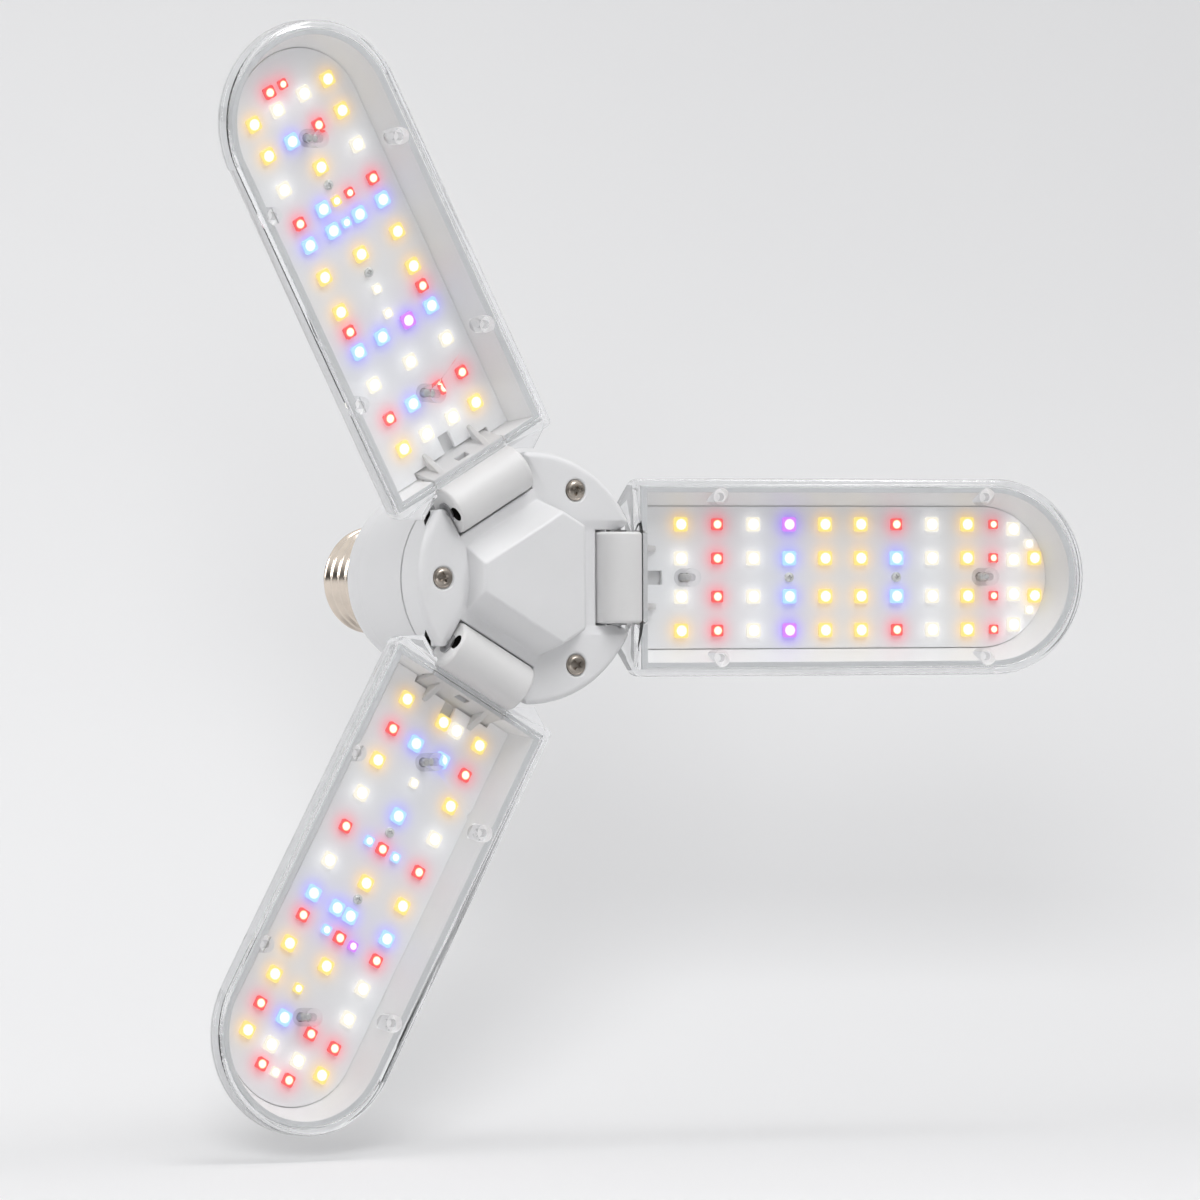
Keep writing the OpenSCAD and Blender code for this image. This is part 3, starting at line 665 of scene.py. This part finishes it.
# light of the ring, light of the core's edge, light of the core, painted halo colour of the board nearby, painted
# light on it
LOOKS = {
    "white": ((1.0, 0.94, 0.80), (1.3, 1.27, 1.18), (1.7, 1.7, 1.7), (1.0, 1.0, 1.0), (0.22, 0.22, 0.22)),
    "warm": ((1.05, 0.84, 0.27), (1.3, 1.2, 0.75), (1.6, 1.6, 1.5), (1.0, 0.88, 0.66), (0.32, 0.14, 0.02)),
    "red": ((1.0, 0.13, 0.13), (1.2, 0.55, 0.28), (1.6, 1.45, 1.1), (1.0, 0.34, 0.40), (0.40, 0.05, 0.08)),
    "blue": ((0.50, 0.80, 1.2), (0.85, 1.1, 1.3), (1.4, 1.6, 1.6), (0.66, 0.62, 1.0), (0.06, 0.06, 0.36)),
    "violet": ((0.74, 0.26, 0.98), (1.0, 0.70, 1.2), (1.6, 1.5, 1.6), (0.60, 0.54, 1.0), (0.06, 0.02, 0.40)),
}
LED_H, LED_STEPS = 0.8, 24  # height of the packages, and points round each of their loops
LED_CHAMFER = 0.09  # share of a package's side
CORE_CROWN = 0.05  # how far the core's middle lies under the frame
DIM = 0.75  # share of the ring's light at a package's foot
LIT_TINT = 0.12  # share of a package's light that is its colour without it
FACE_SLACK, CUT_SLACK = 0.1, 0.00001

BOARD_TINT = (0.86, 0.86, 0.87)
BOARD_SPANS = ((33.4, 142), (-17, 17.2))  # along and across, where the board is cut into cells
BOARD_CELL = 0.7
REACH, NEAR, FAR = 220, 9, 50  # squares of distances: where a LED's light ends, its halo and its spill
LARGE = 3.5  # side of the packages that LOOKS is for: smaller ones give less light
TINT_NEAR, TINT_FAR, LIGHT_NEAR, LIGHT_FAR = 1.2, 0.05, 1.15, 0.08  # weights of the painted halo and spill, in the board's colour and in its glow
BASE_LIGHT, SIDE_SHARE = 0.08, 0.15  # painted light all over the board, and the share of the painted light below its face


def wing_of(node_name):
    return node_name.rsplit("_", 1)[1]


def packages(node_name):
    """Centre and side of each LED package in a node, in its wing's millimetres."""
    found = []
    for points in solids(node_name, wing_matrix(wing_of(node_name)).inverted()):
        us, vs = [p.x for p in points], [p.y for p in points]
        found.append(((max(us) + min(us)) / 2, (max(vs) + min(vs)) / 2, max(us) - min(us)))
    return found


def loop_points(radius, chamfer):
    """Points round a circle, or where a chamfer is given round a square with cut corners."""
    points = []
    for k in range(LED_STEPS):
        a = 2 * math.pi * (k + 0.5) / LED_STEPS
        c, s = math.cos(a), math.sin(a)
        x, y = radius * c, radius * s
        if chamfer:
            m, limit = max(abs(c), abs(s)), radius - chamfer * 0.6
            x, y = x / m, y / m
            if abs(x) > limit and abs(y) > limit:
                x, y = math.copysign(limit + chamfer * 0.25, x), math.copysign(limit + chamfer * 0.25, y)
        points.append((x, y))
    return points


def led_mesh(node_name, colour, spots):
    """Packages with a chamfered frame, a round well and a slightly crowned core."""
    place = wing_matrix(wing_of(node_name))
    ring, rim, core, _, _ = LOOKS[colour]
    dim = tuple(c * DIM for c in ring)
    between = tuple((a + b) / 2 for a, b in zip(rim, core))
    verts, faces, glow = [], [], []

    def point(x, y, height, light):
        verts.append(place @ Vector((x, y, FACE_Z + height)))
        glow.append(light)
        return len(verts) - 1

    for u, v, side in spots:
        h, ch = side / 2, LED_CHAMFER * side
        loops = []  # from the foot over the frame into the well and its core
        for radius, height, light, chamfer in (
            (h, 0.0, dim, ch),
            (h, LED_H - ch * 0.5, ring, ch),
            (h - ch * 0.5, LED_H, ring, ch),
            (0.40 * side, LED_H, ring, 0),
            (0.37 * side, LED_H - 0.12, rim, 0),
            (0.31 * side, LED_H - 0.10, between, 0),
            (0.25 * side, LED_H - 0.06, core, 0),
        ):
            loops.append([point(u + x, v + y, height, light) for x, y in loop_points(radius, chamfer)])
        for a, b in zip(loops, loops[1:]):
            for k in range(LED_STEPS):
                n = (k + 1) % LED_STEPS
                faces.append((a[k], a[n], b[n], b[k]))
        top = point(u, v, LED_H - CORE_CROWN, core)
        bottom = point(u, v, 0, dim)
        for k in range(LED_STEPS):
            n = (k + 1) % LED_STEPS
            faces.append((loops[-1][k], loops[-1][n], top))
            faces.append((loops[0][n], loops[0][k], bottom))
    mesh = mesh_from("led_packages_" + colour + "_" + wing_of(node_name), verts, faces)
    colours = mesh.color_attributes.new("glow", "FLOAT_COLOR", "POINT")
    tints = mesh.color_attributes.new("tint", "FLOAT_COLOR", "POINT")
    for i, c in enumerate(glow):
        colours.data[i].color = (*c, 1)
        tints.data[i].color = (*[LIT_TINT * min(1, x) for x in c], 1)
    mesh.shade_smooth()
    mesh.set_sharp_from_angle(angle=math.radians(SMALL_CREASE_ANGLE))
    return mesh


def light_at(spot, spots):
    """The board's colour with the LEDs' painted halo, and the LEDs' light painted on it, at a point of its face."""
    colour, light = list(BOARD_TINT), [0.0, 0.0, 0.0]
    for name, u, v, side in spots:
        square = (spot.x - u) ** 2 + (spot.y - v) ** 2
        if square > REACH:
            continue
        small = (side / LARGE) ** 2
        near = math.exp(-square / NEAR) * small
        far = math.exp(-square / FAR) * small
        *_, shade, lamp = LOOKS[name]
        for c in range(3):
            # painted halo: near the LED the board's colour takes on the LED's colour
            colour[c] *= 1 - (1 - shade[c]) * min(1, TINT_NEAR * near + TINT_FAR * far)
            light[c] += lamp[c] * (LIGHT_NEAR * near + LIGHT_FAR * far)
    return colour, light


def lit_board(wing, spots):
    """The board with the light of its LEDs painted on it as colour and glow, worked out at close points."""
    place = wing_matrix(wing)
    bm = welded("board_" + wing)
    bmesh.ops.transform(bm, matrix=place.inverted(), verts=bm.verts)
    for axis, (low, high) in enumerate(BOARD_SPANS):
        normal = Vector((0, 0, 0))
        normal[axis] = 1
        at = low
        while at < high:
            everything = bm.verts[:] + bm.edges[:] + bm.faces[:]
            bmesh.ops.bisect_plane(bm, geom=everything, dist=CUT_SLACK, plane_co=normal * at, plane_no=normal)
            at += BOARD_CELL
    mesh = bpy.data.meshes.new("lit_board_" + wing)
    bm.to_mesh(mesh)
    bm.free()
    glow = mesh.color_attributes.new("glow", "FLOAT_COLOR", "POINT")
    tint = mesh.color_attributes.new("tint", "FLOAT_COLOR", "POINT")
    for i, v in enumerate(mesh.vertices):
        colour, light = light_at(v.co, spots)
        share = 1.0 if v.co.z > FACE_Z - FACE_SLACK else SIDE_SHARE
        glow.data[i].color = (*[(c + BASE_LIGHT) * share for c in light], 1)
        tint.data[i].color = (*colour, 1)
    mesh.transform(place)
    mesh.materials.append(MATERIALS["board_white"])
    return mesh


for wing in WINGS:
    spots = []
    for colour in LOOKS:
        node_name = "leds_" + colour + "_" + wing
        found = packages(node_name)
        spots += [(colour, *f) for f in found]
        piece_from("led_packages_" + colour + "_" + wing, led_mesh(node_name, colour, found), node_name)
    piece_from("lit_board_" + wing, lit_board(wing, spots), "board_" + wing)

# ---- rounded mouldings

HUB_ROUND, WING_ROUND, RIM_ROUND, RIM_SEGMENTS = 0.4, 0.3, 0.35, 3  # widths of the roundings

PLATE_UNDER_Z = -3.0  # underside of the covers' front plate
COVER_INNER = 22.3  # half width inside a cover's walls
POSTS_START = 34  # the covers' posts lie further along than this
WALL_SLACK, PLATE_SLACK = 0.05, 0.02

SIDE_POSTS = {"right": (0.1756, 0.8272), "upper": (0.2357, 0.707), "lower": (0.2403, 0.7163)}  # shares of the board
POST_OFFSET, POST_HOLE_R, POST_HOLE_TOP = 19.6, 2.35, -3.2  # the holes in the trays round the side posts
WALL_FOOT, END_WALL_X = FACE_Z - 1.5, 36  # the trays' walls are lit above this height, the end wall before this
TURNED_IN = 0.3  # how far a lit face looks toward the board, as a cosine

HOLE_AT, HOLE_R, HOLE_FROM = (HINGE_R - 0.4, 3.6 - HINGE_DEPTH), 1.85, 4  # pinholes in the knuckles' ends
WINDOW_X, WINDOW_HALF = HINGE_R + 0.5, 0.83  # windows in the hub's body beside the pins' ends
WINDOW_Z, WINDOW_FROM, WINDOW_REACH = (-8.75, -3.65), 11.55, 29.6

TRAY_EDGES = 0.07  # metres: the trays' smaller groups of edges stay sharp


def thin_posts(cover, wing):
    """Give the screw posts under a cover's plate the thin clear material."""
    inside = wing_matrix(wing).inverted()
    cover.data.materials.append(MATERIALS["clear_post"])
    for face in cover.data.polygons:
        spot = inside @ face.center
        under_plate = spot.z < PLATE_UNDER_Z - PLATE_SLACK and spot.x > POSTS_START
        if under_plate and off_centre(spot) < COVER_INNER - WALL_SLACK:
            face.material_index = 1


def light_inside(tray, wing):
    """The LEDs' light painted as a glow on the tray's inner walls and in the holes round the side posts."""
    inside = wing_matrix(wing).inverted()
    turn = inside.to_3x3().normalized()
    along = [p.x for p in solids("board_" + wing, inside)[0]]
    posts = [min(along) + share * (max(along) - min(along)) for share in SIDE_POSTS[wing]]
    tray.data.materials.append(MATERIALS["tray_lit"])
    tray.data.materials.append(MATERIALS["hole_lit"])
    for face in tray.data.polygons:
        spot, normal = inside @ face.center, turn @ face.normal
        away = Vector((past_tip_centre(spot), spot.y, 0)).normalized()
        in_hole = any(math.hypot(spot.x - x, abs(spot.y) - POST_OFFSET) < POST_HOLE_R for x in posts)
        side_wall = normal.dot(away) < -TURNED_IN
        end_wall = spot.x < END_WALL_X and normal.x > TURNED_IN
        if in_hole and spot.z < POST_HOLE_TOP:
            face.material_index = 2
        elif spot.z > WALL_FOOT and (side_wall or end_wall):
            face.material_index = 1


def darken(obj, to_local, inside):
    """Paint shade on the faces deep in a hole, where the light doesn't reach: a near-black colour in place of real
    shade.
    """
    obj.data.materials.append(MATERIALS["recess_painted_shade"])
    for face in obj.data.polygons:
        if inside(to_local @ face.center):
            face.material_index = len(obj.data.materials) - 1


def in_knuckle_hole(spot):
    """Whether a point of a wing's arm lies in a pinhole at its knuckle's end."""
    return math.hypot(spot.x - HOLE_AT[0], spot.z - HOLE_AT[1]) < HOLE_R and abs(spot.y) > HOLE_FROM


def in_pin_window(spot):
    """Whether a point of the hub's body lies in one of the windows beside the pins."""
    for angle, _ in WINGS.values():
        p = Matrix.Rotation(-math.radians(angle), 4, "Z") @ spot
        in_slot = abs(p.x - WINDOW_X) < WINDOW_HALF and WINDOW_Z[0] < p.z < WINDOW_Z[1]
        if in_slot and abs(p.y) > WINDOW_FROM and math.hypot(p.x, p.y) < WINDOW_REACH:
            return True
    return False


rounded("front_cover", HUB_ROUND)
darken(rounded("hub_body", HUB_ROUND), LAMP_MM.inverted(), in_pin_window)
for wing in WINGS:
    darken(rounded("arm_" + wing, WING_ROUND), wing_matrix(wing).inverted(), in_knuckle_hole)
    light_inside(rounded("tray_" + wing, WING_ROUND, least=TRAY_EDGES), wing)
    thin_posts(rounded("cover_" + wing, RIM_ROUND, segments=RIM_SEGMENTS, rim=wing), wing)


# ---- stage, light and camera: metres

FLOOR_Z = -0.1375
STAGE_HALF, STAGE_FRONT, STAGE_LONG = 3.2, -1.6, 5.2
STAGE_ROWS, ROW_POWER = 140, 1.25  # the rows lie closer together in front
RISE_FROM, RISE, RISE_POWER = -0.02, 0.42, 1.6  # the floor climbs by RISE * (y - RISE_FROM) ** RISE_POWER
HORIZON = (0.79, 0.79, 0.795)  # colour of the world behind the paper
FADE_FROM, FADE_TO = 1.35, 2.5  # distances over which the paper turns into the horizon's grey
PAPER = (0.83, 0.83, 0.838), (0.85, 0.85, 0.855)
PAPER_GLOW, GLOW_SHARE = (0.955, 0.955, 0.975), 0.2  # the part of the paper's look that doesn't depend on light
PAPER_BOUNCE = (0.66, 0.66, 0.665)  # its colour for the light that it throws back
AIM = (0, -0.05, 0)
LAMPS = (  # name, position, side, watts, whether only the paper or all but the paper is lit
    ("top", (0.2, -0.5, 1.7), 0.9, 9, None),
    ("key", (0.3, -1.1, 1.4), 0.8, 13, "EXCLUDE"),
    ("side", (-1.5, 0.3, 0.5), 0.8, 8.5, "EXCLUDE"),
    ("floor light", (-0.94, -1.59, 0.33), 0.36, 35, "INCLUDE"),
)
FLAG_CORNERS = [(-0.72, 0.72, 0.0), (-0.30, 0.96, 0.0), (-0.30, 0.96, 0.30), (-0.72, 0.72, 0.30)]


def stage_paper():
    """Pale paper that keeps shadows, throws little light back and fades into the horizon far away."""
    mat, tree, bsdf = new_material("stage_paper")
    pale = patches(tree, object_noise(tree, 3), *PAPER)
    calm = add(tree, "ShaderNodeMix", data_type="RGBA")
    feed(tree, calm, {0: rays(tree, "Diffuse"), 6: pale, 7: PAPER_BOUNCE})  # share, colour A, colour B
    feed(tree, bsdf, {"Base Color": calm.outputs[2], "Roughness": 0.6, "Specular IOR Level": 0.2})
    seen = rays(tree, "Camera", "Glossy", "Transmission")
    share = sum_of(tree, "MULTIPLY", seen, GLOW_SHARE)
    glow = add(tree, "ShaderNodeEmission", {"Color": PAPER_GLOW})
    surface = mixed(tree, share, bsdf.outputs["BSDF"], glow.outputs["Emission"])
    place = add(tree, "ShaderNodeTexCoord").outputs["Object"]
    level = add(tree, "ShaderNodeVectorMath", {0: place, 1: (1, 1, 0)}, operation="MULTIPLY")
    distance = add(tree, "ShaderNodeVectorMath", {0: level.outputs["Vector"]}, operation="LENGTH")
    span = {"Value": distance.outputs["Value"], "From Min": FADE_FROM, "From Max": FADE_TO}
    fade = add(tree, "ShaderNodeMapRange", span, interpolation_type="SMOOTHSTEP").outputs["Result"]
    far = add(tree, "ShaderNodeEmission", {"Color": HORIZON})
    surface = mixed(tree, sum_of(tree, "MULTIPLY", fade, seen), surface, far.outputs["Emission"])
    back = add(tree, "ShaderNodeNewGeometry").outputs["Backfacing"]
    hidden = add(tree, "ShaderNodeBsdfTransparent").outputs["BSDF"]
    show(tree, mixed(tree, back, surface, hidden))
    return mat


def make_stage():
    """A floor that rises gently behind the lamp and turns up into a backdrop, seen from its front only."""
    verts, faces = [], []
    for k in range(STAGE_ROWS + 1):
        y = STAGE_FRONT + STAGE_LONG * (k / STAGE_ROWS) ** ROW_POWER
        rise = 0.0 if y < RISE_FROM else RISE * (y - RISE_FROM) ** RISE_POWER
        verts += [(-STAGE_HALF, y, FLOOR_Z + rise), (STAGE_HALF, y, FLOOR_Z + rise)]
    for k in range(STAGE_ROWS):
        faces.append((2 * k, 2 * k + 1, 2 * k + 3, 2 * k + 2))
    mesh = mesh_from("stage_floor", verts, faces)
    mesh.shade_smooth()
    mesh.materials.append(stage_paper())
    floor = placed("stage_floor", mesh)
    return floor


def flag():
    """A dark card beside the set, seen only in the shine of the metal."""
    mesh = mesh_from("flag_card", FLAG_CORNERS, [(0, 1, 2, 3)])
    mesh.materials.append(MATERIALS["insulator_black"])
    card = placed("flag_card", mesh)
    for kind in ("camera", "diffuse", "transmission", "shadow", "volume_scatter"):
        setattr(card, "visible_" + kind, False)


def area(name, position, side, power):
    """A square lamp that points at the object."""
    lamp = bpy.data.lights.new(name, "AREA")
    lamp.shape = "RECTANGLE"
    lamp.size = lamp.size_y = side
    lamp.energy = power
    obj = placed(name, lamp)
    obj.location = position
    obj.rotation_mode = "QUATERNION"
    obj.rotation_quaternion = (Vector(AIM) - Vector(position)).to_track_quat("-Z", "Y")
    return obj


def link_light(lamp, thing, state):
    """Let a lamp light only one thing, or everything but that."""
    group = bpy.data.collections.new(lamp.name + "_" + state.lower())
    group.objects.link(thing)
    lamp.light_linking.receiver_collection = group
    group.collection_objects[0].light_linking.link_state = state


paper = make_stage()
flag()
for name, position, side, power, state in LAMPS:
    lamp = area(name, position, side, power)
    if state:
        link_light(lamp, paper, state)


def world_ramp(tree, stops):
    """A colour that changes with height above the horizon: 0 is straight down, 1 straight up."""
    place = add(tree, "ShaderNodeTexCoord").outputs["Generated"]
    height = add(tree, "ShaderNodeSeparateXYZ", {"Vector": place}).outputs["Z"]
    return ramp(tree, sum_of(tree, "MULTIPLY_ADD", height, 0.5, 0.5), stops)


def background(tree, colour, strength=1.0):
    node = add(tree, "ShaderNodeBackground", {"Color": colour, "Strength": strength})
    return node.outputs["Background"]


def make_world():
    """Soft light for the object, and what is seen behind the paper, in the metal and through the covers."""
    world = bpy.data.worlds.new("studio")
    bpy.context.scene.world = world
    world.use_nodes = True
    tree = world.node_tree
    tree.nodes.remove(tree.nodes["Background"])
    soft = background(tree, world_ramp(tree, [(0.4, (0.74, 0.75, 0.76)), (1.0, 1.0)]), 0.48)
    seen = background(tree, HORIZON)
    shine = background(tree, world_ramp(tree, [(0.56, (0.05, 0.048, 0.045)), (0.72, 0.9)]))
    through = background(tree, world_ramp(tree, [(0.48, (0.22, 0.22, 0.225)), (0.7, 0.95)]))
    surface = mixed(tree, rays(tree, "Camera", "Glossy", "Transmission"), soft, seen)
    surface = mixed(tree, rays(tree, "Glossy"), surface, shine)
    surface = mixed(tree, rays(tree, "Transmission"), surface, through)
    feed(tree, tree.nodes["World Output"], {"Surface": surface})


make_world()

CAMERA_ANGLES = (-29.7, -0.14, -0.26)  # azimuth, elevation and roll of the photograph's view, degrees
CAMERA_DISTANCE = 2.015  # from the centre of the petal plane
SENSOR, CLIP = 36, (0.05, 30)  # mm, m
FRAME_PX, PX_PER_MM = 1200, 4.183
ORIGIN_PX = (532.26, 577.65)  # where the centre of the petal plane is seen


def make_camera():
    """The photograph's view of the lamp at rest."""
    azimuth, elevation, roll = (math.radians(a) for a in CAMERA_ANGLES)
    level = math.cos(elevation)
    away = Vector((math.sin(azimuth) * level, -math.cos(azimuth) * level, math.sin(elevation)))
    right = Vector((math.cos(azimuth), math.sin(azimuth), 0))
    up = away.cross(right)
    right, up = (
        right * math.cos(roll) + up * math.sin(roll),
        up * math.cos(roll) - right * math.sin(roll),
    )
    offset_x = (ORIGIN_PX[0] - FRAME_PX / 2) / PX_PER_MM * MM
    offset_y = (FRAME_PX / 2 - ORIGIN_PX[1]) / PX_PER_MM * MM
    data = bpy.data.cameras.new("camera")
    data.sensor_width = SENSOR
    data.lens = SENSOR * PX_PER_MM / MM * CAMERA_DISTANCE / FRAME_PX
    data.clip_start, data.clip_end = CLIP
    camera = placed("camera", data)
    turn = Matrix((right, up, away)).transposed().to_4x4()
    centre = Vector((0, -BASE_END * MM, 0))
    eye = centre + away * CAMERA_DISTANCE - right * offset_x - up * offset_y
    camera.matrix_world = Matrix.Translation(eye) @ turn
    bpy.context.scene.camera = camera


make_camera()
bpy.context.scene.view_settings.view_transform = "Standard"
